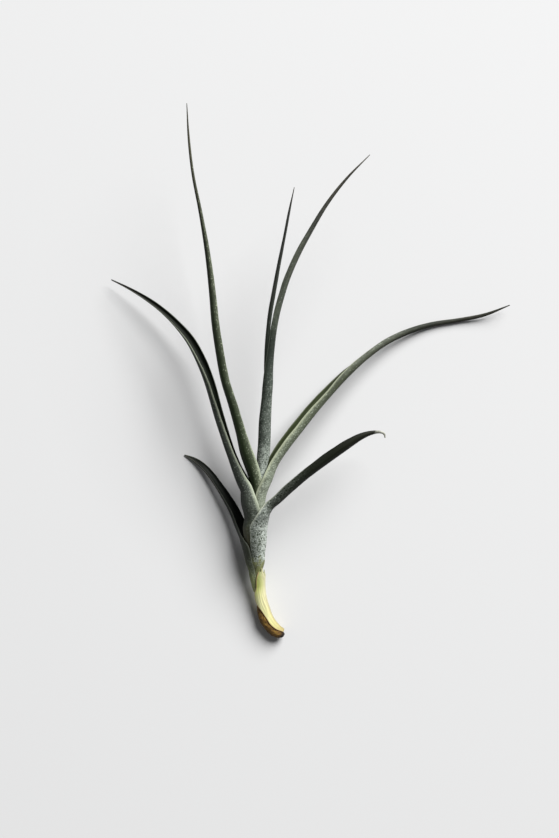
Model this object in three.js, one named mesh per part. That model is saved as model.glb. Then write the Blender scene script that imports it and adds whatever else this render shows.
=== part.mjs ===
// An air plant lying on its back as picked: a short stem, the remains of one old sheath
// round its foot, and seven channelled leaves whose sheaths nest round the stem.
// Millimetres, +X to the plant's right, +Y towards its leaf tips, +Z up from the table.
import * as THREE from "three";
import { mergeVertices } from "three/addons/utils/BufferGeometryUtils.js";

// The middle of the plant's box, in the coordinates that the points below are measured in.
const PLANT_MIDDLE = [14.53, 19.98, 0];

// Sheaths: each one is a wall round the next inner one, with a little air between.
const SHEATH_WALL = 0.64;
const SHEATH_GAP = 0.26;
const SHEATH_SWELL = 7; // over this length a sheath swells to make room for the next inner foot
const LAYER = SHEATH_WALL + SHEATH_GAP;

// Blades: fleshy along the middle, thin at the margins, a groove down to the very tip.
const MIDRIB_THICKNESS = 1.25;
const MARGIN_THICKNESS = 0.6;
const GROOVE_SHARE = 0.25; // the least inner radius of a blade, as a share of its outer radius

// How finely the surfaces are divided.
const SECTIONS_PER_SPAN = 2;
const FACES_ACROSS = 12;
const SHEATH_STEP = 4; // nested sheaths share their stations, at multiples of this height
const CLEAR_SPAN = 2.5; // and none is nearer than this below the parting, where the leaf bends away
const STEM_SIDES = 18;

// The stem's axis from the scar at its foot, through the rosette, to where the last sheath opens.
const STEM_AXIS = [
  [2.3, -101.7, 2.8],
  [-2.6, -98.8, 3.45],
  [-6.0, -94.3, 3.95],
  [-7.7, -89.5, 4.55],
  [-8.9, -84.8, 5.2],
  [-9.8, -80.0, 6.0],
  [-10.5, -75.3, 6.9],
  [-11.0, -65.8, 8.5],
  [-11.4, -58.7, 9.9],
  [-11.75, -51.6, 11.4],
  [-11.45, -44.6, 12.9],
  [-10.8, -37.6, 14.4],
  [-9.7, -30.6, 15.9],
  [-8.8, -23.6, 17.4],
  [-7.8, -16.6, 18.9],
  [-7.0, -9.7, 20.4],
];

// The stem's own sections: height above the scar, radius, and shift to the plant's left.
const STEM_SECTIONS = [
  [0.3, 0.9, 0],
  [0.9, 1.5, 0.1],
  [2.4, 2.2, 0.25],
  [5, 2.6, 0.35],
  [9, 2.7, 0.35],
  [13, 2.8, 0.5],
  [17, 2.45, 0.45],
  [22, 1.7, 0],
  [28, 1.3, 0],
  [34, 1.5, 0],
  [40, 2.35, 0],
  [47, 2.95, 0],
  [53, 3.2, 0],
  [58, 2.8, 0],
  [62, 2.15, 0],
  [66, 1.8, 0],
  [70, 1.4, 0],
  [74, 1.0, 0],
  [78, 0.8, 0],
  [79.5, 0.4, 0],
];

// The old sheath's stations: height above the scar, outer radius, half its wrap in degrees,
// and the turn of its opening, which faces the plant's left.
const OLD_SHEATH_WALL = 0.6;
const OLD_SHEATH = [
  [1.6, 2.9, 70, 18],
  [5, 3.4, 82, 13],
  [9, 3.6, 90, 10],
  [13, 3.55, 95, 10],
  [17, 3.45, 115, 8],
  [21, 3.3, 150, 2],
  [25, 3.35, 144, -2],
  [28, 3.6, 106, -5],
  [31.5, 4.06, 90, -8],
  [35, 4.3, 52, -35],
  [38, 4.3, 33, -42],
];

// The leaves from the innermost and youngest to the outermost and oldest.
// side: -1 leans to the plant's left, +1 to its right.
// foot, parting: heights on the stem where the sheath starts and where the blade leaves it.
// wrap: half the angle that the sheath covers, in degrees, at its foot and at the parting.
// turn: how far the groove is turned up from the stem side, in degrees: at the foot, at the parting,
// and then at even steps along the blade to the tip.
// free: the blade station at which the blade has come free of the younger leaves.
// blade: x, y, z, outer radius and half wrap at each station from the parting to the tip.
const LEAVES = [
  {
    name: "leaf_7_centre",
    side: -1,
    foot: 74.6,
    parting: 90,
    wrap: [155, 150],
    turn: [-8, -5, 0],
    free: 5,
    blade: [
      [-6.7, -1.4, 22.2, 1.75, 150],
      [-6.1, 8.7, 24.3, 1.55, 148],
      [-5.7, 16.0, 25.9, 1.42, 142],
      [-5.7, 24.3, 27.6, 1.43, 135],
      [-5.5, 32.4, 29.3, 1.33, 128],
      [-4.9, 40.6, 31.0, 1.25, 125],
      [-3.9, 48.6, 32.6, 1.32, 125],
      [-2.3, 57.6, 34.3, 1.28, 125],
      [0.0, 70.2, 36.4, 1.1, 125],
      [2.5, 82.9, 38.3, 0.83, 125],
      [4.4, 93.0, 39.6, 0.72, 125],
      [6.8, 104.7, 40.8, 0.25, 105],
    ],
  },
  {
    name: "leaf_6_tall_right",
    side: 1,
    foot: 67.6,
    parting: 84,
    wrap: [155, 152],
    turn: [-5, -8, 0],
    free: 9,
    blade: [
      [-7.85, -17.2, 18.8, 3.2, 153],
      [-7.15, -10.0, 20.3, 3.1, 155],
      [-6.8, -1.4, 22.2, 2.95, 156],
      [-6.0, 8.7, 24.3, 2.58, 156],
      [-5.5, 16.0, 25.9, 2.57, 150],
      [-5.2, 24.3, 27.6, 2.43, 124],
      [-4.4, 32.4, 29.2, 2.25, 111],
      [-3.3, 40.6, 30.8, 2.12, 112],
      [-1.6, 48.8, 32.3, 2.0, 116],
      [0.7, 56.9, 33.6, 1.92, 120],
      [3.1, 64.1, 34.7, 1.83, 122],
      [8.0, 75.1, 36.2, 1.72, 124],
      [14.0, 85.8, 37.4, 1.44, 125],
      [21.6, 98.0, 38.6, 1.1, 125],
      [30.7, 109.4, 39.5, 0.76, 120],
      [40.9, 119.6, 40.0, 0.25, 105],
    ],
  },
  {
    name: "leaf_5_tall_left",
    side: -1,
    foot: 58.2,
    parting: 74,
    wrap: [155, 140],
    turn: [-5, -10, -10],
    free: 4,
    blade: [
      [-10.4, -25.8, 17.2, 4.2, 110],
      [-12.0, -21.5, 18.2, 4.15, 115],
      [-14.6, -15.1, 19.9, 3.75, 121],
      [-17.1, -6.6, 21.6, 2.97, 122],
      [-20.9, 6.23, 24.2, 2.54, 125],
      [-24.6, 18.22, 26.4, 2.42, 125],
      [-27.05, 31.33, 28.7, 2.32, 125],
      [-28.9, 43.92, 30.8, 2.18, 125],
      [-30.25, 57.92, 33.0, 1.9, 125],
      [-32.5, 75.93, 35.5, 1.48, 125],
      [-35.72, 94.21, 37.5, 1.04, 125],
      [-39, 110.82, 39.0, 0.83, 122],
      [-40.8, 126.51, 40.0, 0.71, 115],
      [-41.8, 142.7, 40.5, 0.25, 105],
    ],
  },
  {
    name: "leaf_4_long_right",
    side: 1,
    foot: 51.3,
    parting: 74.5,
    wrap: [155, 112],
    turn: [10, 15, 15, 20, 24, -10, -38, -40, -40],
    free: 4,
    blade: [
      [-7.6, -26.4, 16.5, 4.83, 103],
      [-3.7, -19.4, 17.0, 3.75, 109],
      [2.0, -11.0, 17.1, 3.65, 112],
      [7.5, -4.3, 16.6, 3.45, 118],
      [14.22, 3.87, 15.4, 3.15, 122],
      [21.39, 11.8, 13.6, 2.82, 122],
      [30.03, 20.89, 10.9, 2.58, 122],
      [39.91, 29.24, 7.8, 1.88, 122],
      [50.4, 36.5, 4.86, 1.66, 122],
      [61.3, 41.4, 2.75, 1.47, 120],
      [72.2, 44.6, 1.4, 1.22, 120],
      [83.5, 46.4, 1.12, 1.02, 118],
      [96.1, 48.9, 2.2, 0.85, 115],
      [108.0, 53.4, 4.6, 0.25, 105],
    ],
  },
  {
    name: "leaf_3_long_left",
    side: -1,
    foot: 40.5,
    parting: 61.5,
    wrap: [155, 138],
    turn: [8, -2, 3, 10, 52, 80, 90, 92],
    free: 3,
    blade: [
      [-12.15, -38.5, 14.25, 5.85, 116],
      [-13.6, -32.5, 15.25, 4.95, 110],
      [-16.6, -28.2, 15.7, 3.65, 126],
      [-21.46, -17.16, 16.3, 2.68, 122],
      [-27.36, 0.15, 17.0, 2.53, 125],
      [-32.51, 17.6, 16.8, 2.48, 125],
      [-36.65, 27.88, 16.2, 2.4, 125],
      [-41.44, 36.64, 15.2, 2.18, 125],
      [-47.2, 43.62, 14.0, 1.74, 125],
      [-53.32, 49.56, 12.4, 1.4, 125],
      [-60.37, 55, 10.4, 1.12, 122],
      [-69.36, 60.49, 7.8, 0.67, 118],
      [-78.9, 65.3, 5.0, 0.25, 105],
    ],
  },
  {
    name: "leaf_2_short_right",
    side: 1,
    foot: 31,
    parting: 58.5,
    wrap: [122, 92],
    turn: [-15, -15, -15],
    free: 3,
    blade: [
      [-8.75, -42.7, 14.9, 5.15, 82],
      [-5.2, -39.5, 15.4, 3.3, 102],
      [-1.6, -36.9, 16.4, 2.82, 112],
      [3.4, -32.3, 17.8, 2.8, 120],
      [12.2, -24.9, 20.0, 2.66, 124],
      [21.1, -18.1, 22.0, 2.8, 124],
      [29.9, -12.0, 23.6, 2.6, 124],
      [37.6, -7.6, 24.6, 1.82, 122],
      [42.7, -6.0, 24.9, 1.16, 118],
      [46.2, -5.8, 24.8, 0.85, 108],
      [48.2, -6.7, 24.6, 0.75, 105],
      [48.6, -8.6, 24.4, 0.4, 105],
    ],
  },
  {
    name: "leaf_1_short_left",
    side: -1,
    foot: 26,
    parting: 41,
    wrap: [152, 98],
    turn: [50, 30, 68],
    free: 3,
    blade: [
      [-11.6, -58.7, 9.35, 6.1, 96],
      [-14.1, -54.2, 8.5, 5.2, 91],
      [-17.51, -50.07, 6.6, 3.4, 98],
      [-21.23, -42.58, 5.4, 2.7, 106],
      [-24.52, -36.98, 4.7, 2.35, 106],
      [-27.8, -32.05, 4.0, 2, 106],
      [-31.4, -27.0, 3.2, 1.75, 106],
      [-35.4, -22.5, 2.2, 1.5, 106],
      [-39.7, -19.3, 1.1, 1.1, 105],
      [-44.8, -16.9, 0.35, 0.3, 105],
    ],
  },
];

const UP = new THREE.Vector3(0, 0, 1);
const stemAxis = new THREE.CatmullRomCurve3(STEM_AXIS.map((p) => new THREE.Vector3(...p)));
const stemLength = stemAxis.getLength();

function stemPoint(height) {
  return stemAxis.getPointAt(height / stemLength);
}

// A number that runs smoothly through the rows' values in one column, at place t from 0 to 1.
function columnCurve(rows, column) {
  const points = rows.map((row) => new THREE.Vector3(row[column], 0, 0));
  const curve = new THREE.CatmullRomCurve3(points, false, "catmullrom", 0.5);
  return (t) => curve.getPoint(t).x;
}

// The stem's radius at a height, on a straight line between its stated sections.
function stemRadius(height) {
  const above = STEM_SECTIONS.findIndex((row) => row[0] > height);
  const last = STEM_SECTIONS.length - 1;
  if (above < 0 || above === last) {
    return STEM_SECTIONS[last - 2][1];
  }
  const [low, high] = [STEM_SECTIONS[above - 1], STEM_SECTIONS[above]];
  return THREE.MathUtils.mapLinear(height, low[0], high[0], low[1], high[1]);
}

// The outer radius of a leaf's sheath: the stem, and one layer for each sheath inside it.
function sheathRadius(order, height) {
  const rooms = LEAVES.slice(0, order).map(({ foot }) =>
    THREE.MathUtils.smoothstep(height, foot - SHEATH_SWELL, foot),
  );
  return stemRadius(height) + LAYER * rooms.reduce((sum, room) => sum + room, 1);
}

// The directions at a point of a channel: along it, to its groove, and across it.
function channelFrame(along, side, turn) {
  const inward = new THREE.Vector3().crossVectors(along, UP).normalize().multiplyScalar(-side);
  const upward = UP.clone().addScaledVector(along, -UP.dot(along)).normalize();
  const angle = THREE.MathUtils.degToRad(turn);
  const groove = inward.multiplyScalar(Math.cos(angle)).addScaledVector(upward, Math.sin(angle));
  return { groove, across: new THREE.Vector3().crossVectors(along, groove) };
}

// A closed channel-shaped solid through stations of centre, radius, wrap, turn, midrib and margin.
// It is a box bent to shape: its width runs round the channel, its length along it.
function channelGeometry(stations, side) {
  const spine = new THREE.CatmullRomCurve3(stations.map((s) => new THREE.Vector3(...s.centre)));
  const rows = stations.map((s) => [s.radius, s.wrap, s.turn, s.midrib, s.margin]);
  const [radiusAt, wrapAt, turnAt, midribAt, marginAt] = rows[0].map((_, i) => columnCurve(rows, i));
  const sections = SECTIONS_PER_SPAN * (stations.length - 1);
  const geometry = new THREE.BoxGeometry(2, 1, 1, FACES_ACROSS, sections, 1);
  geometry.deleteAttribute("normal");
  geometry.deleteAttribute("uv");
  const places = geometry.getAttribute("position");
  for (let i = 0; i < places.count; i++) {
    const round = places.getX(i);
    const t = places.getY(i) + 0.5;
    const radius = radiusAt(t);
    const { groove, across } = channelFrame(spine.getTangent(t), side, turnAt(t));
    const thickness = THREE.MathUtils.lerp(midribAt(t), marginAt(t), round * round);
    const inner = Math.max(radius - thickness, GROOVE_SHARE * radius);
    const reach = places.getZ(i) < 0 ? radius : inner;
    const angle = round * THREE.MathUtils.degToRad(wrapAt(t));
    const point = spine.getPoint(t);
    point.addScaledVector(groove, -reach * Math.cos(angle));
    point.addScaledVector(across, reach * Math.sin(angle));
    places.setXYZ(i, point.x, point.y, point.z);
  }
  return mergeVertices(geometry, 1e-4);
}

// Where a sheath has its stations: its foot, its parting and the shared steps between them.
function sheathHeights({ foot, parting }) {
  const heights = [foot];
  const start = SHEATH_STEP * Math.ceil((foot + 1) / SHEATH_STEP);
  for (let height = start; height < parting - CLEAR_SPAN; height += SHEATH_STEP) {
    heights.push(height);
  }
  return [...heights, parting];
}

// The value at share 0 to 1 of values at even steps, on a straight line between them.
function evenSteps(values, share) {
  const place = share * (values.length - 1);
  const i = Math.min(Math.floor(place), values.length - 2);
  return THREE.MathUtils.lerp(values[i], values[i + 1], place - i);
}

// A leaf's stations: its sheath up the stem's axis, then its blade.
function leafStations(leaf, order) {
  const [footWrap, partingWrap] = leaf.wrap;
  const [footTurn, ...bladeTurns] = leaf.turn;
  const sheath = sheathHeights(leaf).map((height) => {
    const share = (height - leaf.foot) / (leaf.parting - leaf.foot);
    return {
      centre: stemPoint(height).toArray(),
      radius: sheathRadius(order, height),
      wrap: THREE.MathUtils.lerp(footWrap, partingWrap, share),
      turn: THREE.MathUtils.lerp(footTurn, bladeTurns[0], share),
      midrib: SHEATH_WALL,
      margin: SHEATH_WALL,
    };
  });
  const blade = leaf.blade.map(([x, y, z, radius, wrap], i) => {
    const fleshy = THREE.MathUtils.smoothstep(i, leaf.free - 3, leaf.free + 1);
    return {
      centre: [x, y, z],
      radius,
      wrap,
      turn: evenSteps(bladeTurns, (i + 1) / leaf.blade.length),
      midrib: THREE.MathUtils.lerp(SHEATH_WALL, MIDRIB_THICKNESS, fleshy),
      margin: THREE.MathUtils.lerp(SHEATH_WALL, MARGIN_THICKNESS, fleshy),
    };
  });
  return [...sheath, ...blade];
}

// Scaly grey-green skin, more or less silvery from leaf to leaf.
function leafMaterial(colour) {
  return new THREE.MeshStandardMaterial({ color: colour, roughness: 0.75, metalness: 0 });
}

// Dry, smooth, pale yellow remains of a leaf base.
function oldSheathMaterial() {
  return new THREE.MeshStandardMaterial({ color: "#d8d694", roughness: 0.6, metalness: 0 });
}

// Brown, corky rootstock.
function stemMaterial() {
  return new THREE.MeshStandardMaterial({ color: "#5d4426", roughness: 0.9, metalness: 0 });
}

const LEAF_COLOURS = {
  leaf_1_short_left: "#2c3a28",
  leaf_2_short_right: "#46523f",
  leaf_3_long_left: "#4d5a48",
  leaf_4_long_right: "#66714f",
  leaf_5_tall_left: "#4a5b39",
  leaf_6_tall_right: "#6b756a",
  leaf_7_centre: "#59655a",
};

function leafMesh(leaf, order) {
  const geometry = channelGeometry(leafStations(leaf, order), leaf.side);
  const mesh = new THREE.Mesh(geometry, leafMaterial(LEAF_COLOURS[leaf.name]));
  mesh.name = leaf.name;
  return mesh;
}

function oldSheathMesh() {
  const stations = OLD_SHEATH.map(([height, radius, wrap, turn]) => ({
    centre: stemPoint(height).toArray(),
    radius,
    wrap,
    turn,
    midrib: OLD_SHEATH_WALL,
    margin: OLD_SHEATH_WALL,
  }));
  const mesh = new THREE.Mesh(channelGeometry(stations, 1), oldSheathMaterial());
  mesh.name = "old_sheath";
  return mesh;
}

// The stem is a cylinder bent along its axis, with its stated radius at each section.
function stemMesh() {
  const spans = STEM_SECTIONS.length - 1;
  const geometry = new THREE.CylinderGeometry(1, 1, 1, STEM_SIDES, spans);
  geometry.deleteAttribute("normal");
  geometry.deleteAttribute("uv");
  const places = geometry.getAttribute("position");
  for (let i = 0; i < places.count; i++) {
    const [height, radius, shift] = STEM_SECTIONS[Math.round((places.getY(i) + 0.5) * spans)];
    const along = stemAxis.getTangentAt(height / stemLength);
    const { groove, across } = channelFrame(along, 1, 0);
    const point = stemPoint(height);
    point.addScaledVector(groove, radius * places.getX(i) + shift);
    point.addScaledVector(across, -radius * places.getZ(i));
    places.setXYZ(i, point.x, point.y, point.z);
  }
  const mesh = new THREE.Mesh(mergeVertices(geometry, 1e-4), stemMaterial());
  mesh.name = "stem";
  return mesh;
}

const group = new THREE.Group();
group.add(stemMesh());
group.add(oldSheathMesh());
LEAVES.forEach((leaf, order) => group.add(leafMesh(leaf, order)));
group.position.set(...PLANT_MIDDLE).negate();

export default group;
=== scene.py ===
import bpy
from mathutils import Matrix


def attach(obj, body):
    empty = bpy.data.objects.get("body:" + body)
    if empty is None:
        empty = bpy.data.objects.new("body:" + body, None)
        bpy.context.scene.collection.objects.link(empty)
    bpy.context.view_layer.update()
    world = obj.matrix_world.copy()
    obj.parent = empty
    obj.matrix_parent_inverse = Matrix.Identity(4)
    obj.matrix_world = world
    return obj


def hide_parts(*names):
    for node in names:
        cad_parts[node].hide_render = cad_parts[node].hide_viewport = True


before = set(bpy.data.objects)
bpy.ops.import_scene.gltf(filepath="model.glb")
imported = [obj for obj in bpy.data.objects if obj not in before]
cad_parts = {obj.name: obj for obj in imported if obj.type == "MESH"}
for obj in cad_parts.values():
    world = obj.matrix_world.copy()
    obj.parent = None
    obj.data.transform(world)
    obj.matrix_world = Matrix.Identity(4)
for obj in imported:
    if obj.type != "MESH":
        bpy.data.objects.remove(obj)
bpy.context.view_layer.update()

import math

import bmesh
import bpy
from mathutils import Vector, noise

# The studio: a matt pale sheet as the floor, one soft light high on the upper right, an even
# weak light all round, and a camera a metre above that looks straight down on the plant.
MM = 0.001
PLANT_MIDDLE_MM = (14.53, 19.98, 0)  # in the millimetres of the plant's own tables
CAMERA_PLACE = (-PLANT_MIDDLE_MM[0] * MM, -PLANT_MIDDLE_MM[1] * MM, 1.0)
SENSOR_WIDTH = 36
LENS = 91.28
CLIP_NEAR, CLIP_FAR = 0.05, 20
FLOOR_HALF_SIZE = 4
FLOOR_DROP = 0.05 * MM
KEY_SIZE = 4.2
KEY_PLACE = Vector((2.5, 3.85, 3.5))
KEY_POWER = 830
FILL_STRENGTH = 0.14


def colour(code):
    """An sRGB hex colour as linear red, green and blue, with a full alpha."""
    parts = [int(code[i : i + 2], 16) / 255 for i in (1, 3, 5)]
    return [c / 12.92 if c <= 0.04045 else ((c + 0.055) / 1.055) ** 2.4 for c in parts] + [1]


def add(tree, kind, links=None, stops=None, **settings):
    """Adds a node with its settings, its colour stops, and each input's value or link."""
    node = tree.nodes.new(kind)
    for name, value in settings.items():
        setattr(node, name, value)
    for i, (place, code) in enumerate(stops or []):
        ramp = node.color_ramp.elements
        stop = ramp[i] if i < len(ramp) else ramp.new(place)
        stop.position = place
        stop.color = colour(code)
    for socket, value in (links or {}).items():
        if isinstance(value, bpy.types.NodeSocket):
            tree.links.new(value, node.inputs[socket])
        else:
            node.inputs[socket].default_value = value
    return node


def new_material(name, ior, roughness):
    """A material with a Principled shader of that IOR and roughness, and its node tree."""
    material = bpy.data.materials.new(name)
    material.use_nodes = True
    shader = material.node_tree.nodes["Principled BSDF"]
    shader.inputs["IOR"].default_value = ior
    shader.inputs["Roughness"].default_value = roughness
    return material, material.node_tree, shader


floor_mesh = bpy.data.meshes.new("floor")
bm = bmesh.new()
bmesh.ops.create_grid(bm, x_segments=1, y_segments=1, size=FLOOR_HALF_SIZE)
bmesh.ops.translate(bm, verts=bm.verts, vec=(0, 0, -FLOOR_DROP))
bm.to_mesh(floor_mesh)
bm.free()
floor = bpy.data.objects.new("floor", floor_mesh)
bpy.context.scene.collection.objects.link(floor)
# Paper: fully matt and a touch darker than white, so that the soft light leaves it just off white.
paper, _, paper_shader = new_material("matt_white_paper", 1.5, 0.9)
paper_shader.inputs["Base Color"].default_value = colour("#c6c6c6")
floor_mesh.materials.append(paper)

world = bpy.data.worlds.new("even_studio_light")
world.use_nodes = True
world.node_tree.nodes["Background"].inputs["Color"].default_value = colour("#f4f6f8")
world.node_tree.nodes["Background"].inputs["Strength"].default_value = FILL_STRENGTH
bpy.context.scene.world = world

key = bpy.data.objects.new("key_light", bpy.data.lights.new("key_light", "AREA"))
key.data.shape = "DISK"
key.data.size = KEY_SIZE
key.data.energy = KEY_POWER
key.location = KEY_PLACE
key.rotation_euler = KEY_PLACE.to_track_quat("Z", "Y").to_euler()
bpy.context.scene.collection.objects.link(key)

camera = bpy.data.objects.new("camera", bpy.data.cameras.new("camera"))
camera.location = CAMERA_PLACE
camera.data.sensor_width = SENSOR_WIDTH
camera.data.lens = LENS
camera.data.clip_start = CLIP_NEAR
camera.data.clip_end = CLIP_FAR
bpy.context.scene.collection.objects.link(camera)
bpy.context.scene.camera = camera
bpy.context.scene.view_settings.view_transform = "Standard"

# The stem: the short rootstock of an air plant, brown cork over wood, bare at the bent foot where
# it broke off and hidden by the sheaths above. It is a cylinder bent along its axis, wrinkled
# and ringed by the scars of lost leaves, and everything else grows round it.
STEM_AXIS = [  # from the scar to the growing tip
    (2.3, -101.7, 2.8),
    (-2.6, -98.8, 3.45),
    (-6.0, -94.3, 3.95),
    (-7.7, -89.5, 4.55),
    (-8.9, -84.8, 5.2),
    (-9.8, -80.0, 6.0),
    (-10.5, -75.3, 6.9),
    (-11.0, -65.8, 8.5),
    (-11.4, -58.7, 9.9),
    (-11.75, -51.6, 11.4),
    (-11.45, -44.6, 12.9),
    (-10.8, -37.6, 14.4),
    (-9.7, -30.6, 15.9),
    (-8.8, -23.6, 17.4),
    (-7.8, -16.6, 18.9),
    (-7.0, -9.7, 20.4),
]
STEM_SECTIONS = [  # height above the scar, radius, shift to the plant's left
    (0.3, 0.9, 0),
    (0.9, 1.5, 0.1),
    (2.4, 2.2, 0.25),
    (5, 2.6, 0.35),
    (9, 2.7, 0.35),
    (13, 2.8, 0.5),
    (17, 2.45, 0.45),
    (22, 1.7, 0),
    (28, 1.3, 0),
    (34, 1.5, 0),
    (40, 2.35, 0),
    (47, 2.95, 0),
    (53, 3.2, 0),
    (58, 2.8, 0),
    (62, 2.15, 0),
    (66, 1.8, 0),
    (70, 1.4, 0),
    (74, 1.0, 0),
    (78, 0.8, 0),
    (79.5, 0.4, 0),
]
STEM_SIDES = 48
STEM_RINGS = 160
RING_CROWDING = 1.5  # above 1, the rings lie closer together towards the foot
SCAR_SPACING = 1.7
SCAR_DEPTH = 0.05  # as a share of the radius, as is WRINKLE
SCAR_SLANT = 0.6
WRINKLE = 0.05
WRINKLE_LENGTH = 1.5
WRINKLES_ROUND = 2.2
AXIS_STEPS = 200


def spline(rows, share, even=False):
    """The point at share 0 to 1 of a smooth curve through rows of numbers; an even curve gives
    every span the same weight, and the other kind weighs spans by their length."""
    place = min(max(share, 0), 1) * (len(rows) - 1)
    i = min(int(place), len(rows) - 2)
    weight = place - i
    p1, p2 = Vector(rows[i]), Vector(rows[i + 1])
    p0 = Vector(rows[i - 1]) if i > 0 else 2 * p1 - p2
    p3 = Vector(rows[i + 2]) if i + 2 < len(rows) else 2 * p2 - p1
    if even:
        start, end = (p2 - p0) / 2, (p3 - p1) / 2
    else:
        d0, d1, d2 = [max((b - a).length, 1e-6) ** 0.5 for a, b in ((p0, p1), (p1, p2), (p2, p3))]
        start = ((p1 - p0) / d0 - (p2 - p0) / (d0 + d1) + (p2 - p1) / d1) * d1
        end = ((p2 - p1) / d1 - (p3 - p1) / (d1 + d2) + (p3 - p2) / d2) * d1
    bend = 3 * (p2 - p1) - 2 * start - end
    return p1 + start * weight + bend * weight**2 + (2 * (p1 - p2) + start + end) * weight**3


def direction(rows, share):
    """The direction of the curve through rows at share 0 to 1."""
    return (spline(rows, share + 1e-4) - spline(rows, share - 1e-4)).normalized()


AXIS_POINTS = [spline(STEM_AXIS, i / AXIS_STEPS) for i in range(AXIS_STEPS + 1)]
AXIS_LENGTHS = [0.0]
for near, far in zip(AXIS_POINTS, AXIS_POINTS[1:]):
    AXIS_LENGTHS.append(AXIS_LENGTHS[-1] + (far - near).length)


def axis_share(height):
    """The place on the stem's axis, 0 to 1, of a height along it."""
    i = max(k for k in range(AXIS_STEPS) if AXIS_LENGTHS[k] <= max(height, 0))
    past = (height - AXIS_LENGTHS[i]) / (AXIS_LENGTHS[i + 1] - AXIS_LENGTHS[i])
    return (i + past) / AXIS_STEPS


def channel_frame(along, side, turn):
    """The directions to a channel's groove and across it; side -1 leans to the plant's left."""
    inward = along.cross(Vector((0, 0, 1))).normalized() * -side
    upward = (Vector((0, 0, 1)) - along * along.z).normalized()
    groove = inward * math.cos(math.radians(turn)) + upward * math.sin(math.radians(turn))
    return groove, along.cross(groove)


def in_place(point):
    """A point of the plant's own millimetres in the metres of the scene."""
    return (point - Vector(PLANT_MIDDLE_MM)) * MM


def finished(name, bm, material):
    """The bmesh as a smooth piece of the plant that stands for the CAD node of its name."""
    bmesh.ops.recalc_face_normals(bm, faces=bm.faces)
    mesh = bpy.data.meshes.new(name)
    bm.to_mesh(mesh)
    bm.free()
    mesh.shade_smooth()
    mesh.materials.append(material)
    piece = bpy.data.objects.new(name + "_skin", mesh)
    bpy.context.scene.collection.objects.link(piece)
    smoothing = piece.modifiers.new("smoothing", "SUBSURF")
    smoothing.levels = smoothing.render_levels = 1
    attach(piece, "root")
    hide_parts(name)
    return piece


def stem_radius(height):
    """The stem's radius and shift at a height, on a straight line between its sections."""
    spans = zip(STEM_SECTIONS, STEM_SECTIONS[1:])
    low, high = [(a, b) for a, b in spans if a[0] <= max(height, STEM_SECTIONS[0][0])][-1]
    share = min(max((height - low[0]) / (high[0] - low[0]), 0), 1)
    return low[1] + share * (high[1] - low[1]), low[2] + share * (high[2] - low[2])


bm = bmesh.new()
bmesh.ops.create_cone(
    bm, cap_ends=True, cap_tris=True, segments=STEM_SIDES, radius1=1, radius2=1, depth=2
)
uprights = [e for e in bm.edges if abs(e.verts[0].co.z - e.verts[1].co.z) > 1]
bmesh.ops.subdivide_edges(bm, edges=uprights, cuts=STEM_RINGS - 1, use_grid_fill=True)
stem_start, stem_end = STEM_SECTIONS[0][0], STEM_SECTIONS[-1][0]
skin_mm = bm.verts.layers.float_vector.new("skin_mm")
for vert in bm.verts:
    share = (vert.co.z + 1) / 2
    height = stem_start + (stem_end - stem_start) * share**RING_CROWDING
    radius, shift = stem_radius(height)
    angle = math.atan2(vert.co.y, vert.co.x)
    along = direction(STEM_AXIS, axis_share(height))
    groove, across = channel_frame(along, 1, 0)
    slant = SCAR_SLANT * math.sin(angle)
    ring = 1 - SCAR_DEPTH * abs(math.sin(math.pi * height / SCAR_SPACING + slant))
    round_place = (WRINKLES_ROUND * math.cos(angle), WRINKLES_ROUND * math.sin(angle))
    rough = 1 + WRINKLE * noise.noise((height / WRINKLE_LENGTH, *round_place))
    reach = radius * min(1, math.hypot(vert.co.x, vert.co.y)) * ring * rough
    point = spline(STEM_AXIS, axis_share(height)) + groove * (reach * math.cos(angle) + shift)
    vert[skin_mm] = (angle * radius, height, 0)
    vert.co = in_place(point + across * reach * math.sin(angle))

# Cork: dull, fine-grained brown bark, dark in its cracks and nearly black at the broken foot.
# Its grain runs along the stem, about 0.6 mm wide and 2 mm long.
cork, tree, shader = new_material("brown_cork", 1.45, 0.85)
place = add(tree, "ShaderNodeAttribute", attribute_name="skin_mm").outputs["Vector"]
height_mm = add(tree, "ShaderNodeSeparateXYZ", {0: place}).outputs["Y"]
grain = add(tree, "ShaderNodeMapping", {"Vector": place, "Scale": (1.6, 0.5, 1)}).outputs[0]
grain = add(tree, "ShaderNodeTexNoise", {"Vector": grain, "Scale": 1.0, "Detail": 6.0})
bark = add(
    tree,
    "ShaderNodeValToRGB",
    {0: grain.outputs["Fac"]},
    stops=[(0.3, "#3a250b"), (0.45, "#5c3f16"), (0.57, "#6f541b"), (0.72, "#7f6628")],
)
foot_share = add(
    tree, "ShaderNodeMapRange", {"Value": height_mm, "From Min": 1.5, "From Max": 3.0}
).outputs[0]
bark = add(
    tree,
    "ShaderNodeMix",
    {0: foot_share, 6: colour("#1c0e04"), 7: bark.outputs["Color"]},
    data_type="RGBA",
).outputs[2]
relief = add(
    tree, "ShaderNodeBump", {"Height": grain.outputs["Fac"], "Distance": 0.25 * MM, "Strength": 0.7}
)
tree.links.new(bark, shader.inputs["Base Color"])
tree.links.new(relief.outputs[0], shader.inputs["Normal"])
finished("stem", bm, cork)

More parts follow.
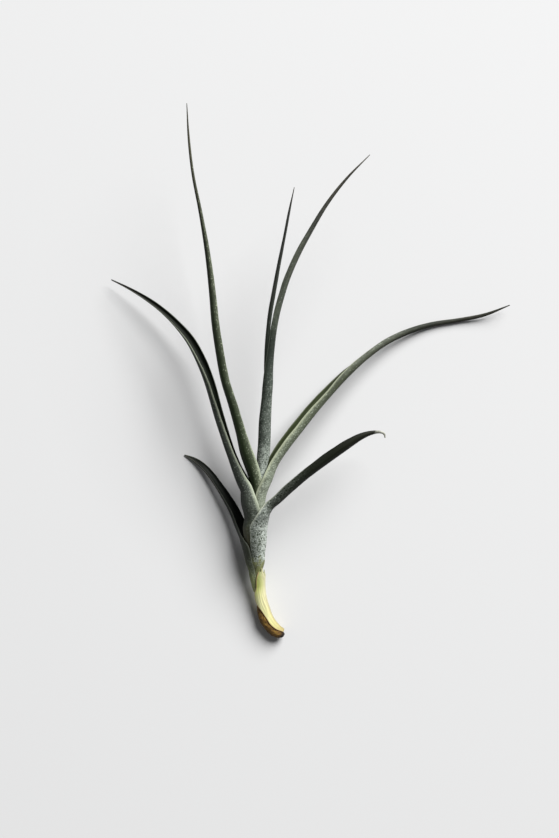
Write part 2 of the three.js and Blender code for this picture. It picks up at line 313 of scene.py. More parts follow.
# Leaf 7, the youngest, in the centre: a thin channelled blade that leaves the tube of the leaf
# outside it half way up. Every leaf is a flat strip with two skins, bent round its own spine:
# a sheath that hugs the sheaths inside it, and a fleshy blade with thin pale margins.
SHEATH_WALL = 0.64
SHEATH_MARGIN = 0.3
LAYER = 0.90  # the room that a sheath takes outside those within it
SHEATH_SWELL = 7  # the height over which a sheath widens for the next leaf's foot inside it
SHEATH_STEP = 4  # a sheath's stations stand this far apart
CLEAR_SPAN = 2.5  # and none is nearer than this below the parting, where the leaf bends away
MIDRIB_THICKNESS = 1.25
THIN_MARGIN = 0.34
GROOVE_SHARE = 0.25  # the groove's skin keeps this share of the radius away from the spine
PARTING_SHARE = 0.25  # where the leaf parts from the stem, on its way from foot 0 to tip 1
COLUMNS = 20
COLUMN_CROWDING = 0.4  # how much closer the columns lie at the margins
SECTIONS_PER_SPAN = 8
WAVE, WAVE_LENGTH = 0.03, 6  # of the margins, as a share of the half wrap
SWELL, SWELL_LENGTH = 0.012, 5  # of the back, as a share of the radius
FLESHY_FROM, FLESHY_BY = -3, 1  # a blade grows fleshy between these stations round its free one
HUG_END = 2  # the blade's station past which its margins hug nothing
PRESS_START = 0.45  # from here to the margin, a sheath is pressed on what it hugs
PRESSED_ROOM = 0.36  # the room that its margins then take
TEAR_START = 0.8  # a torn end begins at this share of the length
TEARS_ACROSS = 2.6
BAND_WAVER = 0.02  # how unevenly the bands of colour end
VEIN_SPACING = 0.5
VEIN_CHANGES_PER_MM = 0.06
# The cover is coarsened to show at the photo's distance: real scales are some 0.2 mm wide, and
# the pits between them are as fine.
SCALE_WIDTH = 0.42
SCALE_LENGTH = 0.5
SCALE_RIM = (0.75, 0.35)
CLUMPS_PER_MM = 0.45
PITS_PER_MM = 0.95
PIT_INEQUALITY = 0.16
PIT_CLUMPING = 0.7
PIT_RIM = (0.64, 0.86)
SMOOTH_COVER = 0.6  # the share of the cover that doesn't show as single scales
SKIN_RELIEF = 0.14 * MM
NOISE_LOW, NOISE_HIGH = 0.3, 0.7  # most of a noise's values lie between these
feet_inside = []


def smoothstep(low, high, value):
    share = min(max((value - low) / (high - low), 0), 1)
    return share * share * (3 - 2 * share)


def sheath_radius(height):
    """The outer radius of the next sheath: the stem, and a layer for each sheath inside it."""
    rooms = [smoothstep(foot - SHEATH_SWELL, foot, height) for foot in feet_inside]
    stem = stem_radius(height)[0] if height < STEM_SECTIONS[-2][0] else STEM_SECTIONS[-3][1]
    return stem + LAYER * (1 + sum(rooms))


def even_steps(values, share):
    """The value at share 0 to 1 of values at even steps, on a straight line between them."""
    place = share * (len(values) - 1)
    i = min(int(place), len(values) - 2)
    return values[i] + (place - i) * (values[i + 1] - values[i])


def leaf_rows(foot, parting, wrap, turn, free, blade):
    """A leaf's stations from foot to tip: centre, radius, half wrap in degrees, turn of the groove,
    thickness at the midrib and at the margins, and how far the margins hug what is inside. foot
    and parting are heights on the stem, and free is the blade's station where it comes clear."""
    start = SHEATH_STEP * math.ceil((foot + 1) / SHEATH_STEP)
    steps = range(start, math.ceil(parting - CLEAR_SPAN), SHEATH_STEP)
    rows = []
    for height in [foot, *steps, parting]:
        share = (height - foot) / (parting - foot)
        centre = spline(STEM_AXIS, axis_share(height))
        wide = wrap[0] + share * (wrap[1] - wrap[0])
        turned = turn[0] + share * (turn[1] - turn[0])
        radius = sheath_radius(height)
        rows.append((*centre, radius, wide, turned, SHEATH_WALL, SHEATH_MARGIN, 1))
    for i, (x, y, z, radius, wide) in enumerate(blade):
        fleshy = smoothstep(free + FLESHY_FROM, free + FLESHY_BY, i)
        turned = even_steps(turn[1:], (i + 1) / len(blade))
        midrib = SHEATH_WALL + fleshy * (MIDRIB_THICKNESS - SHEATH_WALL)
        hug = 1 - smoothstep(-1, HUG_END, i)
        rows.append((x, y, z, radius, wide, turned, midrib, THIN_MARGIN, hug))
    feet_inside.append(foot)
    return rows, len(rows) - len(blade) - 1


def channel(rows, parting_row, side, seed, ragged=0.0):
    """A strip of two skins bent into a channel along rows of stations, with its patterns' places:
    skin_mm runs across and along in millimetres; skin_share holds the place across (-1 to 1, the
    upper margin at 1), how far along (foot 0, parting 0.25, tip 1), and 1 on the groove side.
    A ragged end is torn back by up to that many millimetres."""
    sections = SECTIONS_PER_SPAN * (len(rows) - 1)
    spine = [row[:3] for row in rows]
    stations = []
    length = 0.0
    for i in range(sections + 1):
        t = i / sections
        centre = spline(spine, t)
        length += (centre - stations[-1][0]).length if stations else 0
        radius, wide, turn = spline([row[3:6] for row in rows], t, even=True)
        midrib, margin, hug = spline([row[6:9] for row in rows], t, even=True)
        along = direction(spine, t)
        frame_here = (along, *channel_frame(along, side, turn))
        span = t * (len(rows) - 1)
        past = span - parting_row
        share = (
            PARTING_SHARE * span / max(parting_row, 1)
            if past < 0
            else PARTING_SHARE + (1 - PARTING_SHARE) * past / (len(rows) - 1 - parting_row)
        )
        stations.append((centre, frame_here, radius, wide, midrib, margin, hug, length, share))
    bm = bmesh.new()
    bmesh.ops.create_grid(bm, x_segments=COLUMNS, y_segments=sections, size=1)
    skin = bmesh.ops.extrude_face_region(bm, geom=bm.faces[:], use_keep_orig=True)
    raised = [v for v in skin["geom"] if isinstance(v, bmesh.types.BMVert)]
    bmesh.ops.translate(bm, verts=raised, vec=(0, 0, 1))
    skin_mm = bm.verts.layers.float_vector.new("skin_mm")
    skin_share = bm.verts.layers.float_vector.new("skin_share")
    for vert in bm.verts:
        x, y, layer = vert.co
        round_share = (1 - COLUMN_CROWDING) * x + COLUMN_CROWDING * math.sin(math.pi / 2 * x)
        row = (y + 1) / 2 * sections
        centre, (along, groove, across), radius, wide, midrib, margin, hug, length, share = (
            stations[round(row)]
        )
        edge = abs(round_share)
        press = hug * smoothstep(PRESS_START, 1, edge)
        thickness = midrib + (margin - midrib) * edge * edge
        own_side = math.copysign(4, x) if x else 0  # so each margin waves in its own way
        wave = noise.noise((length / WAVE_LENGTH, own_side, seed))
        wide *= 1 + WAVE * wave * edge
        outer = radius * (1 + SWELL * noise.noise((length / SWELL_LENGTH, 3 * x, seed + 9)))
        outer -= press * (LAYER - PRESSED_ROOM)
        inner = max(outer - thickness, GROOVE_SHARE * outer)
        reach = inner if layer > 0.5 else outer
        angle = round_share * math.radians(wide)
        point = centre - groove * reach * math.cos(angle) + across * reach * math.sin(angle)
        vert[skin_mm] = (angle * radius, length, seed)
        tear = ragged * smoothstep(TEAR_START, 1, row / sections)
        point -= along * tear * max(0, 0.5 + noise.noise((TEARS_ACROSS * x, 0, seed + 5)))
        vert[skin_share] = (round_share * side, share, layer)
        vert.co = in_place(point)
    return bm


def scaly_skin(
    name,
    outer,
    groove,
    back_scales_and_shade,
    edge_scales_and_light,
    margin,
    margin_share,
    silver="#959c91",
    spread=(0.4, 0.8),
    unpitted=0.6,
):
    """Living leaf skin: dark green flesh under silvery water-drinking scales that are missing in
    pits, with a pale margin. outer and groove are the colours of the two skins from foot to tip.
    The greys say from foot to tip how thickly the scales lie on the back and at the edges, and
    how plain and wide the margin is. The thin cover on the back is partly painted shade and the
    thick cover towards the edges partly painted light, since the margins face the light and the
    back faces away from it; spread is where across the width the cover changes, and unpitted is
    the share of the cover that the pits leave. The skin is matt, because the scales
    break up the gleam of the leaf's wax."""
    material, tree, shader = new_material(name, 1.42, 0.6)
    shader.inputs["Specular IOR Level"].default_value = 0.25
    place = add(tree, "ShaderNodeAttribute", attribute_name="skin_mm").outputs["Vector"]
    where = add(tree, "ShaderNodeAttribute", attribute_name="skin_share").outputs["Vector"]
    side, along, inside = add(tree, "ShaderNodeSeparateXYZ", {0: where}).outputs
    edge = add(tree, "ShaderNodeMath", {0: side}, operation="ABSOLUTE").outputs[0]
    clumps = add(
        tree, "ShaderNodeTexNoise", {"Vector": place, "Scale": CLUMPS_PER_MM, "Detail": 4.0}
    ).outputs["Fac"]
    uneven = add(
        tree,
        "ShaderNodeMapRange",
        {
            "Value": clumps,
            "From Min": NOISE_LOW,
            "From Max": NOISE_HIGH,
            "To Min": -BAND_WAVER,
            "To Max": BAND_WAVER,
        },
    ).outputs[0]
    along = add(tree, "ShaderNodeMath", {0: along, 1: uneven}, operation="ADD").outputs[0]
    outer_skin = add(tree, "ShaderNodeValToRGB", {0: along}, outer).outputs["Color"]
    groove_skin = add(tree, "ShaderNodeValToRGB", {0: along}, groove).outputs["Color"]
    flesh = add(
        tree, "ShaderNodeMix", {0: inside, 6: outer_skin, 7: groove_skin}, data_type="RGBA"
    ).outputs[2]

    # Veins: straight fine lines along the leaf.
    veins = add(
        tree,
        "ShaderNodeMapping",
        {"Vector": place, "Scale": (1 / VEIN_SPACING, VEIN_CHANGES_PER_MM, 1)},
    ).outputs[0]
    veins = add(
        tree, "ShaderNodeTexNoise", {"Vector": veins, "Scale": 1.0, "Detail": 3.0}
    ).outputs["Fac"]
    shade = add(
        tree,
        "ShaderNodeMapRange",
        {"Value": veins, "From Min": 0.32, "From Max": 0.68, "To Min": 0.55, "To Max": 1.45},
    ).outputs[0]
    flesh = add(
        tree, "ShaderNodeVectorMath", {0: flesh, "Scale": shade}, operation="SCALE"
    ).outputs[0]

    # Scales: each a cell, there or not by chance, thicker in clumps and nearly none in the groove.
    # Their cover thins on the back and thickens towards the edges. This is partly the leaf's own
    # cover and partly painted shade on the back and painted light towards the lit margins.
    back_cover_and_shade = add(tree, "ShaderNodeValToRGB", {0: along}, back_scales_and_shade).outputs["Color"]
    edge_cover_and_light = add(tree, "ShaderNodeValToRGB", {0: along}, edge_scales_and_light).outputs["Color"]
    towards_lit_edges = add(
        tree, "ShaderNodeMapRange", {"Value": edge, "From Min": spread[0], "From Max": spread[1]}
    ).outputs[0]
    thick = add(
        tree, "ShaderNodeMix", {0: towards_lit_edges, 6: back_cover_and_shade, 7: edge_cover_and_light}, data_type="RGBA"
    ).outputs[2]
    in_clumps = add(
        tree,
        "ShaderNodeMapRange",
        {
            "Value": clumps,
            "From Min": NOISE_LOW,
            "From Max": NOISE_HIGH,
            "To Min": 0.7,
            "To Max": 1.3,
        },
    ).outputs[0]
    on_groove = add(
        tree, "ShaderNodeMapRange", {"Value": inside, "To Min": 1.0, "To Max": 0.08}
    ).outputs[0]
    for factor in (in_clumps, on_groove):
        thick = add(
            tree, "ShaderNodeMath", {0: thick, 1: factor}, operation="MULTIPLY"
        ).outputs[0]
    cells = add(
        tree,
        "ShaderNodeMapping",
        {"Vector": place, "Scale": (1 / SCALE_WIDTH, 1 / SCALE_LENGTH, 1)},
    ).outputs[0]
    cells = add(
        tree, "ShaderNodeTexVoronoi", {"Vector": cells, "Scale": 1.0}, voronoi_dimensions="2D"
    ).outputs
    chance, tone, _ = add(tree, "ShaderNodeSeparateColor", {0: cells["Color"]}).outputs
    there = add(tree, "ShaderNodeMath", {0: thick, 1: chance}, operation="SUBTRACT").outputs[0]
    there = add(
        tree, "ShaderNodeMapRange", {"Value": there, "From Min": 0.0, "From Max": 0.15}
    ).outputs[0]
    scale = add(
        tree,
        "ShaderNodeMapRange",
        {"Value": cells["Distance"], "From Min": SCALE_RIM[0], "From Max": SCALE_RIM[1]},
    ).outputs[0]
    scale = add(tree, "ShaderNodeMath", {0: scale, 1: there}, operation="MULTIPLY").outputs[0]

    # Pits: dark specks in the cover where the scales have sunk or rubbed off.
    pits = add(
        tree,
        "ShaderNodeTexVoronoi",
        {"Vector": place, "Scale": PITS_PER_MM},
        voronoi_dimensions="2D",
    ).outputs
    size, sunk, _ = add(tree, "ShaderNodeSeparateColor", {0: pits["Color"]}).outputs
    reach = add(
        tree,
        "ShaderNodeMath",
        {0: size, 1: PIT_INEQUALITY, 2: pits["Distance"]},
        operation="MULTIPLY_ADD",
    ).outputs[0]
    reach = add(
        tree, "ShaderNodeMath", {0: clumps, 1: PIT_CLUMPING, 2: reach}, operation="MULTIPLY_ADD"
    ).outputs[0]
    sunk = add(
        tree,
        "ShaderNodeMapRange",
        {"Value": sunk, "From Min": 0.4, "From Max": 0.6, "To Min": unpitted},
    ).outputs[0]
    pit = add(
        tree, "ShaderNodeMapRange", {"Value": reach, "From Min": PIT_RIM[0], "From Max": PIT_RIM[1]}
    ).outputs[0]
    pit = add(tree, "ShaderNodeMath", {0: pit, 1: sunk}, operation="MAXIMUM").outputs[0]

    # The cover is part smooth and part single scales, less the pits.
    cover = add(tree, "ShaderNodeMath", {0: thick, 1: SMOOTH_COVER}, operation="MULTIPLY")
    cover = add(
        tree,
        "ShaderNodeMath",
        {0: scale, 1: 1 - SMOOTH_COVER, 2: cover.outputs[0]},
        operation="MULTIPLY_ADD",
    ).outputs[0]
    cover = add(
        tree, "ShaderNodeMath", {0: cover, 1: pit}, operation="MULTIPLY", use_clamp=True
    ).outputs[0]
    sheen = add(
        tree, "ShaderNodeMapRange", {"Value": tone, "To Min": 0.65, "To Max": 1.25}
    ).outputs[0]
    scale_colour = add(
        tree, "ShaderNodeVectorMath", {0: colour(silver)[:3], "Scale": sheen}, operation="SCALE"
    ).outputs[0]
    skin = add(
        tree, "ShaderNodeMix", {0: cover, 6: flesh, 7: scale_colour}, data_type="RGBA"
    ).outputs[2]

    # The margin: a thin, pale, nearly bare line, wider where it shows most. On the leaf's lower
    # margin it is painted faint as shade, so the pale line shows fully only on the upper, lit
    # margin.
    plain = add(tree, "ShaderNodeValToRGB", {0: along}, margin_share).outputs["Color"]
    above = add(
        tree,
        "ShaderNodeMapRange",
        {"Value": side, "From Min": -0.1, "From Max": 0.1, "To Min": 0.25, "To Max": 1.0},
    ).outputs[0]
    plain = add(tree, "ShaderNodeMath", {0: plain, 1: above}, operation="MULTIPLY").outputs[0]
    rim_start = add(
        tree, "ShaderNodeMath", {0: plain, 1: -0.17, 2: 0.95}, operation="MULTIPLY_ADD"
    ).outputs[0]
    rim = add(
        tree, "ShaderNodeMapRange", {"Value": edge, "From Min": rim_start, "From Max": 0.97}
    ).outputs[0]
    rim = add(tree, "ShaderNodeMath", {0: rim, 1: plain}, operation="MULTIPLY").outputs[0]
    skin = add(
        tree, "ShaderNodeMix", {0: rim, 6: skin, 7: colour(margin)}, data_type="RGBA"
    ).outputs[2]

    rough = add(
        tree, "ShaderNodeMapRange", {"Value": cover, "To Min": 0.58, "To Max": 0.85}
    ).outputs[0]
    relief = add(
        tree, "ShaderNodeMath", {0: cover, 1: 0.5, 2: veins}, operation="MULTIPLY_ADD"
    ).outputs[0]
    relief = add(
        tree, "ShaderNodeBump", {"Height": relief, "Distance": SKIN_RELIEF, "Strength": 0.7}
    ).outputs[0]
    tree.links.new(skin, shader.inputs["Base Color"])
    tree.links.new(rough, shader.inputs["Roughness"])
    tree.links.new(relief, shader.inputs["Normal"])
    return material


centre_rows = leaf_rows(
    foot=74.6,
    parting=90,
    wrap=(155, 150),
    turn=(-8, -5, 0),
    free=5,
    blade=[
        (-6.7, -1.4, 22.2, 1.75, 150),
        (-6.1, 8.7, 24.3, 1.55, 148),
        (-5.7, 16.0, 25.9, 1.42, 142),
        (-5.7, 24.3, 27.6, 1.43, 135),
        (-5.5, 32.4, 29.3, 1.33, 128),
        (-4.9, 40.6, 31.0, 1.25, 125),
        (-3.9, 48.6, 32.6, 1.32, 125),
        (-2.3, 57.6, 34.3, 1.28, 125),
        (0.0, 70.2, 36.4, 1.1, 125),
        (2.5, 82.9, 38.3, 0.83, 125),
        (4.4, 93.0, 39.6, 0.72, 125),
        (6.8, 104.7, 40.8, 0.25, 105),
    ],
)
centre_skin = scaly_skin(
    "scaly_leaf_centre",
    outer=[(0, "#6d7258"), (0.25, "#2c342a"), (0.6, "#252b24"), (0.95, "#262724"), (1, "#3b362b")],
    groove=[(0.25, "#252d1e"), (0.6, "#161d13"), (1, "#2a281f")],
    back_scales_and_shade=[(0, "#242424"), (0.25, "#242424"), (0.6, "#191919"), (1, "#0e0e0e")],
    edge_scales_and_light=[(0, "#717171"), (0.25, "#717171"), (0.6, "#555555"), (1, "#393939")],
    margin="#8b9382",
    margin_share=[(0, "#606060"), (0.5, "#a0a0a0"), (1, "#303030")],
)
finished("leaf_7_centre", channel(*centre_rows, side=-1, seed=7), centre_skin)

# Leaf 6, tall and leaning right: its base stays rolled into a silvery tube round leaf 7, thick
# with scales on the outside, and opens into a long dark blade with a fine line at its margin.
tall_right_rows = leaf_rows(
    foot=67.6,
    parting=84,
    wrap=(155, 152),
    turn=(-5, -8, 0),
    free=9,
    blade=[
        (-7.85, -17.2, 18.8, 3.2, 153),
        (-7.15, -10.0, 20.3, 3.1, 155),
        (-6.8, -1.4, 22.2, 2.95, 156),
        (-6.0, 8.7, 24.3, 2.58, 156),
        (-5.5, 16.0, 25.9, 2.57, 150),
        (-5.2, 24.3, 27.6, 2.43, 124),
        (-4.4, 32.4, 29.2, 2.25, 111),
        (-3.3, 40.6, 30.8, 2.12, 112),
        (-1.6, 48.8, 32.3, 2.0, 116),
        (0.7, 56.9, 33.6, 1.92, 120),
        (3.1, 64.1, 34.7, 1.83, 122),
        (8.0, 75.1, 36.2, 1.72, 124),
        (14.0, 85.8, 37.4, 1.44, 125),
        (21.6, 98.0, 38.6, 1.1, 125),
        (30.7, 109.4, 39.5, 0.76, 120),
        (40.9, 119.6, 40.0, 0.25, 105),
    ],
)
tall_right_skin = scaly_skin(
    "scaly_leaf_tall_right",
    outer=[
        (0, "#6d7258"),
        (0.25, "#2b322a"),
        (0.5, "#222a23"),
        (0.58, "#1b221b"),
        (0.62, "#262b22"),
        (0.67, "#3b4135"),
        (0.72, "#31352b"),
        (0.81, "#3f4237"),
        (0.87, "#262722"),
        (1, "#3f3a2f"),
    ],
    groove=[(0.25, "#252d1e"), (0.6, "#161d13"), (1, "#2a281f")],
    back_scales_and_shade=[
        (0, "#cbcbcb"),
        (0.22, "#ffffff"),
        (0.29, "#ffffff"),
        (0.34, "#adadad"),
        (0.45, "#999999"),
        (0.52, "#767676"),
        (0.58, "#3f3f3f"),
        (0.67, "#595959"),
        (1, "#3f3f3f"),
    ],
    edge_scales_and_light=[
        (0, "#cbcbcb"),
        (0.22, "#ffffff"),
        (0.29, "#dadada"),
        (0.34, "#7c7c7c"),
        (0.45, "#616161"),
        (0.52, "#4b4b4b"),
        (0.58, "#303030"),
        (0.67, "#555555"),
        (1, "#383838"),
    ],
    margin="#8f9786",
    margin_share=[(0, "#606060"), (0.5, "#a0a0a0"), (0.75, "#a0a0a0"), (1, "#303030")],
    silver="#a6aea4",
    spread=(0.1, 0.8),
    unpitted=0.25,
)
finished("leaf_6_tall_right", channel(*tall_right_rows, side=1, seed=6), tall_right_skin)

# Leaf 5, the tallest, leaning left, its sheath round leaf 6's: greener than the others, with few
# scales on its back but for the base, and a pale margin on the right.
tall_left_rows = leaf_rows(
    foot=58.2,
    parting=74,
    wrap=(155, 140),
    turn=(-5, -10, -10),
    free=4,
    blade=[
        (-10.4, -25.8, 17.2, 4.2, 110),
        (-12.0, -21.5, 18.2, 4.15, 115),
        (-14.6, -15.1, 19.9, 3.75, 121),
        (-17.1, -6.6, 21.6, 2.97, 122),
        (-20.9, 6.23, 24.2, 2.54, 125),
        (-24.6, 18.22, 26.4, 2.42, 125),
        (-27.05, 31.33, 28.7, 2.32, 125),
        (-28.9, 43.92, 30.8, 2.18, 125),
        (-30.25, 57.92, 33.0, 1.9, 125),
        (-32.5, 75.93, 35.5, 1.48, 125),
        (-35.72, 94.21, 37.5, 1.04, 125),
        (-39, 110.82, 39.0, 0.83, 122),
        (-40.8, 126.51, 40.0, 0.71, 115),
        (-41.8, 142.7, 40.5, 0.25, 105),
    ],
)
tall_left_skin = scaly_skin(
    "scaly_leaf_tall_left",
    outer=[(0, "#6d7258"), (0.27, "#17240a"), (0.5, "#15210a"), (0.8, "#171d10"), (1, "#3a352a")],
    groove=[(0.25, "#1c2511"), (0.6, "#10180b"), (1, "#2a281f")],
    back_scales_and_shade=[
        (0, "#272727"),
        (0.4, "#212121"),
        (0.6, "#272727"),
        (0.75, "#383838"),
        (1, "#272727"),
    ],
    edge_scales_and_light=[
        (0, "#aaaaaa"),
        (0.25, "#ededed"),
        (0.34, "#cbcbcb"),
        (0.4, "#959595"),
        (0.55, "#818181"),
        (0.75, "#aaaaaa"),
        (1, "#6c6c6c"),
    ],
    margin="#a2aa93",
    margin_share=[(0, "#b0b0b0"), (0.36, "#e8e8e8"), (0.5, "#808080"), (1, "#404040")],
    silver="#a3ab92",
    spread=(0.45, 1.0),
    unpitted=0.85,
)
finished("leaf_5_tall_left", channel(*tall_left_rows, side=-1, seed=5), tall_left_skin)

# Leaf 4, long, arching right and down until its belly rests on the floor, its sheath round leaf
# 5's: pale olive outside, dark olive in the groove, with the plainest pale margin of all.
long_right_rows = leaf_rows(
    foot=51.3,
    parting=74.5,
    wrap=(155, 112),
    turn=(10, 15, 15, 20, 24, -10, -38, -40, -40),
    free=4,
    blade=[
        (-7.6, -26.4, 16.5, 4.83, 103),
        (-3.7, -19.4, 17.0, 3.75, 109),
        (2.0, -11.0, 17.1, 3.65, 112),
        (7.5, -4.3, 16.6, 3.45, 118),
        (14.22, 3.87, 15.4, 3.15, 122),
        (21.39, 11.8, 13.6, 2.82, 122),
        (30.03, 20.89, 10.9, 2.58, 122),
        (39.91, 29.24, 7.8, 1.88, 122),
        (50.4, 36.5, 4.86, 1.66, 122),
        (61.3, 41.4, 2.75, 1.47, 120),
        (72.2, 44.6, 1.4, 1.22, 120),
        (83.5, 46.4, 1.12, 1.02, 118),
        (96.1, 48.9, 2.2, 0.85, 115),
        (108.0, 53.4, 4.6, 0.25, 105),
    ],
)
long_right_skin = scaly_skin(
    "scaly_leaf_long_right",
    outer=[
        (0, "#7a7f62"),
        (0.27, "#3f4735"),
        (0.46, "#363e26"),
        (0.62, "#2b2f1f"),
        (0.73, "#2e3127"),
        (0.8, "#181b12"),
        (1, "#25231b"),
    ],
    groove=[(0.25, "#333b1e"), (0.5, "#2a3218"), (0.8, "#181b10"), (1, "#22211a")],
    back_scales_and_shade=[
        (0, "#bcbcbc"),
        (0.25, "#f9f9f9"),
        (0.31, "#dadada"),
        (0.37, "#7c7c7c"),
        (0.46, "#4b4b4b"),
        (0.6, "#303030"),
        (1, "#191919"),
    ],
    edge_scales_and_light=[
        (0, "#aaaaaa"),
        (0.28, "#bcbcbc"),
        (0.36, "#b3b3b3"),
        (0.46, "#999999"),
        (0.6, "#656565"),
        (0.73, "#7c7c7c"),
        (0.8, "#4b4b4b"),
        (1, "#303030"),
    ],
    margin="#a3a98f",
    margin_share=[
        (0, "#c0c0c0"),
        (0.38, "#f0f0f0"),
        (0.62, "#c8c8c8"),
        (0.75, "#606060"),
        (1, "#202020"),
    ],
    silver="#b0b8a7",
    spread=(0.1, 0.8),
    unpitted=0.7,
)
finished("leaf_4_long_right", channel(*long_right_rows, side=1, seed=4), long_right_skin)

# Leaf 3, long, arching left with its tip bent down, its sheath round leaf 4's: dark grey-green
# outside, almost black green in the groove, and a cream margin on the right of its base.
long_left_rows = leaf_rows(
    foot=40.5,
    parting=61.5,
    wrap=(155, 138),
    turn=(8, -2, 3, 10, 52, 80, 90, 92),
    free=3,
    blade=[
        (-12.15, -38.5, 14.25, 5.85, 116),
        (-13.6, -32.5, 15.25, 4.95, 110),
        (-16.6, -28.2, 15.7, 3.65, 126),
        (-21.46, -17.16, 16.3, 2.68, 122),
        (-27.36, 0.15, 17.0, 2.53, 125),
        (-32.51, 17.6, 16.8, 2.48, 125),
        (-36.65, 27.88, 16.2, 2.4, 125),
        (-41.44, 36.64, 15.2, 2.18, 125),
        (-47.2, 43.62, 14.0, 1.74, 125),
        (-53.32, 49.56, 12.4, 1.4, 125),
        (-60.37, 55, 10.4, 1.12, 122),
        (-69.36, 60.49, 7.8, 0.67, 118),
        (-78.9, 65.3, 5.0, 0.25, 105),
    ],
)
long_left_skin = scaly_skin(
    "scaly_leaf_long_left",
    outer=[(0, "#4e4a2c"), (0.15, "#45442c"), (0.24, "#2a3025"), (0.36, "#1e241d"), (1, "#242620")],
    groove=[(0.25, "#141b0e"), (0.6, "#0d1509"), (0.9, "#11140b"), (1, "#24221b")],
    back_scales_and_shade=[
        (0, "#2b2b2b"),
        (0.24, "#2d2d2d"),
        (0.4, "#202020"),
        (0.8, "#1d1d1d"),
        (1, "#151515"),
    ],
    edge_scales_and_light=[
        (0, "#959595"),
        (0.22, "#bcbcbc"),
        (0.36, "#b3b3b3"),
        (0.45, "#7c7c7c"),
        (0.8, "#5d5d5d"),
        (1, "#505050"),
    ],
    margin="#a7ae99",
    margin_share=[
        (0, "#a0a0a0"),
        (0.36, "#f0f0f0"),
        (0.68, "#e0e0e0"),
        (0.8, "#606060"),
        (1, "#202020"),
    ],
    spread=(0.2, 0.95),
)
finished("leaf_3_long_left", channel(*long_left_rows, side=-1, seed=3), long_left_skin)

# Leaf 2, short, leaning right, its sheath half round leaf 3's: a silver-white sheath freckled
# where scales are missing, a nearly black-green blade, and a dried, pale, hooked tip.
short_right_rows = leaf_rows(
    foot=31,
    parting=58.5,
    wrap=(122, 92),
    turn=(-15, -15, -15),
    free=3,
    blade=[
        (-8.75, -42.7, 14.9, 5.15, 82),
        (-5.2, -39.5, 15.4, 3.3, 102),
        (-1.6, -36.9, 16.4, 2.82, 112),
        (3.4, -32.3, 17.8, 2.8, 120),
        (12.2, -24.9, 20.0, 2.66, 124),
        (21.1, -18.1, 22.0, 2.8, 124),
        (29.9, -12.0, 23.6, 2.6, 124),
        (37.6, -7.6, 24.6, 1.82, 122),
        (42.7, -6.0, 24.9, 1.16, 118),
        (46.2, -5.8, 24.8, 0.85, 108),
        (48.2, -6.7, 24.6, 0.75, 105),
        (48.6, -8.6, 24.4, 0.4, 105),
    ],
)
short_right_skin = scaly_skin(
    "scaly_leaf_short_right",
    outer=[
        (0.1, "#6d7045"),
        (0.135, "#3a4132"),
        (0.3, "#2a3127"),
        (0.42, "#151c0f"),
        (0.55, "#0c1205"),
        (0.82, "#17180f"),
        (0.88, "#a6a69b"),
    ],
    groove=[(0.25, "#1a2013"), (0.6, "#0d1108"), (0.82, "#15170f"), (0.88, "#a6a69b")],
    back_scales_and_shade=[
        (0.1, "#595959"),
        (0.135, "#ffffff"),
        (0.27, "#ffffff"),
        (0.32, "#b3b3b3"),
        (0.37, "#3e3e3e"),
        (0.44, "#161616"),
        (0.55, "#070707"),
        (1, "#030303"),
    ],
    edge_scales_and_light=[
        (0.1, "#595959"),
        (0.135, "#959595"),
        (0.25, "#a2a2a2"),
        (0.32, "#adadad"),
        (0.42, "#868686"),
        (0.5, "#747474"),
        (0.57, "#363636"),
        (0.65, "#101010"),
        (1, "#090909"),
    ],
    margin="#bcc1ad",
    margin_share=[
        (0, "#505050"),
        (0.24, "#808080"),
        (0.32, "#c8c8c8"),
        (0.52, "#a0a0a0"),
        (0.6, "#202020"),
    ],
    silver="#b4bbb3",
    spread=(0.05, 0.9),
    unpitted=0.0,
)
finished("leaf_2_short_right", channel(*short_right_rows, side=1, seed=2), short_right_skin)

# Leaf 1, the oldest living leaf, short, leaning left with its groove up, its sheath round all the
# others: almost black green, with dull grey margins and a grey-brown tip that touches the floor.
short_left_rows = leaf_rows(
    foot=26,
    parting=41,
    wrap=(152, 98),
    turn=(50, 30, 68),
    free=3,
    blade=[
        (-11.6, -58.7, 9.35, 6.1, 96),
        (-14.1, -54.2, 8.5, 5.2, 91),
        (-17.51, -50.07, 6.6, 3.4, 98),
        (-21.23, -42.58, 5.4, 2.7, 106),
        (-24.52, -36.98, 4.7, 2.35, 106),
        (-27.8, -32.05, 4.0, 2, 106),
        (-31.4, -27.0, 3.2, 1.75, 106),
        (-35.4, -22.5, 2.2, 1.5, 106),
        (-39.7, -19.3, 1.1, 1.1, 105),
        (-44.8, -16.9, 0.35, 0.3, 105),
    ],
)
short_left_skin = scaly_skin(
    "scaly_leaf_short_left",
    outer=[
        (0, "#99a066"),
        (0.11, "#7d8552"),
        (0.2, "#4f5636"),
        (0.27, "#2b3022"),
        (0.5, "#181d17"),
        (1, "#333229"),
    ],
    groove=[(0.25, "#141a11"), (0.6, "#0b1009"), (0.9, "#171a15"), (1, "#33342d")],
    back_scales_and_shade=[
        (0, "#2b2b2b"),
        (0.2, "#323232"),
        (0.3, "#151515"),
        (0.6, "#0c0c0c"),
        (1, "#121212"),
    ],
    edge_scales_and_light=[
        (0, "#838383"),
        (0.2, "#959595"),
        (0.3, "#4c4c4c"),
        (0.6, "#353535"),
        (1, "#434343"),
    ],
    margin="#62645d",
    margin_share=[(0, "#808080"), (0.4, "#a0a0a0"), (0.8, "#909090"), (1, "#303030")],
)
finished("leaf_1_short_left", channel(*short_left_rows, side=-1, seed=1), short_left_skin)

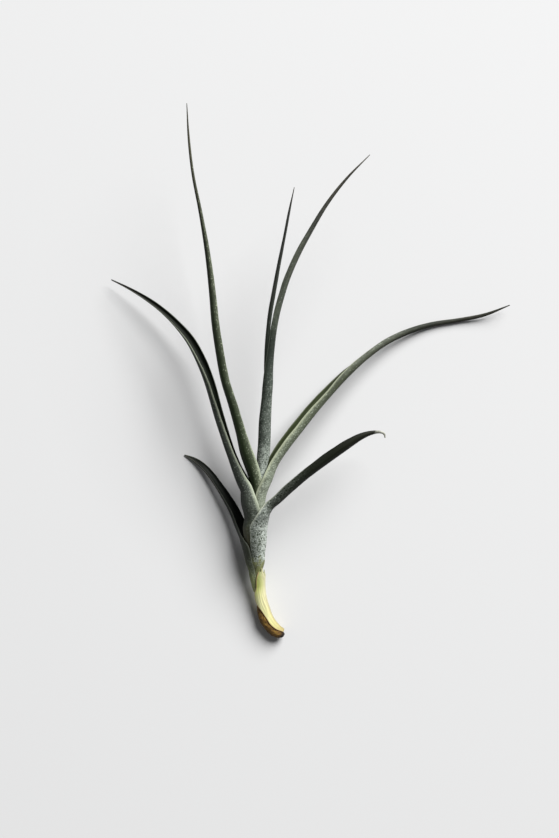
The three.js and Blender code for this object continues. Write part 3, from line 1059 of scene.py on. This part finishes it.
# The old sheath: what is left of a dead leaf's base, dry, smooth and straw-coloured, grown on the
# foot of the stem, open on the left where the cork shows, and torn at its upper end.
OLD_SHEATH_WALL = 0.6
OLD_SHEATH_MARGIN = 0.3
OLD_SHEATH_HUG = 0.85
TEAR_DEPTH = 4.0
OLD_SHEATH = [  # height above the scar, outer radius, half wrap, turn of the opening
    (1.6, 2.9, 70, 18),
    (5, 3.4, 82, 13),
    (9, 3.6, 90, 10),
    (13, 3.55, 95, 10),
    (17, 3.45, 115, 8),
    (21, 3.3, 150, 2),
    (25, 3.35, 144, -2),
    (28, 3.6, 106, -5),
    (31.5, 4.06, 90, -8),
    (35, 4.3, 52, -35),
    (38, 4.3, 33, -42),
]
old_rows = [
    (
        *spline(STEM_AXIS, axis_share(height)),
        *(radius, wrap, turn),
        *(OLD_SHEATH_WALL, OLD_SHEATH_MARGIN, OLD_SHEATH_HUG),
    )
    for height, radius, wrap, turn in OLD_SHEATH
]

# Dry leaf base: smooth cellulose with a waxy gleam, cream on its back, and yellow-green to
# brown towards the margins, in fibres about 0.6 mm apart, coarser than the real ones.
straw, tree, shader = new_material("dry_straw_leaf_base", 1.45, 0.45)
place = add(tree, "ShaderNodeAttribute", attribute_name="skin_mm").outputs["Vector"]
where = add(tree, "ShaderNodeAttribute", attribute_name="skin_share").outputs["Vector"]
side, along, inside = add(tree, "ShaderNodeSeparateXYZ", {0: where}).outputs
edge = add(tree, "ShaderNodeMath", {0: side}, operation="ABSOLUTE").outputs[0]
fibres = add(tree, "ShaderNodeMapping", {"Vector": place, "Scale": (1.8, 0.09, 1)}).outputs[0]
fibres = add(
    tree, "ShaderNodeTexNoise", {"Vector": fibres, "Scale": 1.0, "Detail": 5.0}
).outputs["Fac"]
back = add(
    tree,
    "ShaderNodeValToRGB",
    {0: along},
    stops=[
        (0.25, "#948757"),
        (0.4, "#9b9064"),
        (0.5, "#a69c70"),
        (0.6, "#b5ad84"),
        (0.7, "#c3be98"),
        (0.9, "#bcb98f"),
        (1, "#a09f7b"),
    ],
).outputs["Color"]
flank = add(
    tree,
    "ShaderNodeValToRGB",
    {0: along},
    stops=[
        (0.25, "#9b8b55"),
        (0.4, "#c0bd80"),
        (0.62, "#eeeeb2"),
        (0.71, "#d6d98c"),
        (0.8, "#a9b35c"),
        (1, "#8d9560"),
    ],
).outputs["Color"]
side_share = add(tree, "ShaderNodeMath", {0: fibres, 1: 0.5, 2: edge}, operation="MULTIPLY_ADD")
side_share = add(
    tree,
    "ShaderNodeMapRange",
    {"Value": side_share.outputs[0], "From Min": 0.5, "From Max": 1.1},
).outputs[0]
dry = add(tree, "ShaderNodeMix", {0: side_share, 6: back, 7: flank}, data_type="RGBA").outputs[2]
stain = add(
    tree,
    "ShaderNodeMapRange",
    {"Value": fibres, "From Min": 0.35, "From Max": 0.55, "To Min": 0.72, "To Max": 1.04},
).outputs[0]
dry = add(tree, "ShaderNodeVectorMath", {0: dry, "Scale": stain}, operation="SCALE").outputs[0]
deep = add(
    tree, "ShaderNodeMapRange", {"Value": inside, "From Min": 0.5, "From Max": 1.0}
).outputs[0]
dry = add(
    tree, "ShaderNodeMix", {0: deep, 6: dry, 7: colour("#6b5524")}, data_type="RGBA"
).outputs[2]
rim = add(tree, "ShaderNodeMapRange", {"Value": edge, "From Min": 0.9, "From Max": 0.97}).outputs[0]
dry = add(
    tree, "ShaderNodeMix", {0: rim, 6: dry, 7: colour("#a98d64")}, data_type="RGBA"
).outputs[2]
relief = add(
    tree, "ShaderNodeBump", {"Height": fibres, "Distance": 0.2 * MM, "Strength": 0.5}
).outputs[0]
tree.links.new(dry, shader.inputs["Base Color"])
tree.links.new(relief, shader.inputs["Normal"])
old_shape = channel(old_rows, 0, side=1, seed=11, ragged=TEAR_DEPTH)
finished("old_sheath", old_shape, straw)
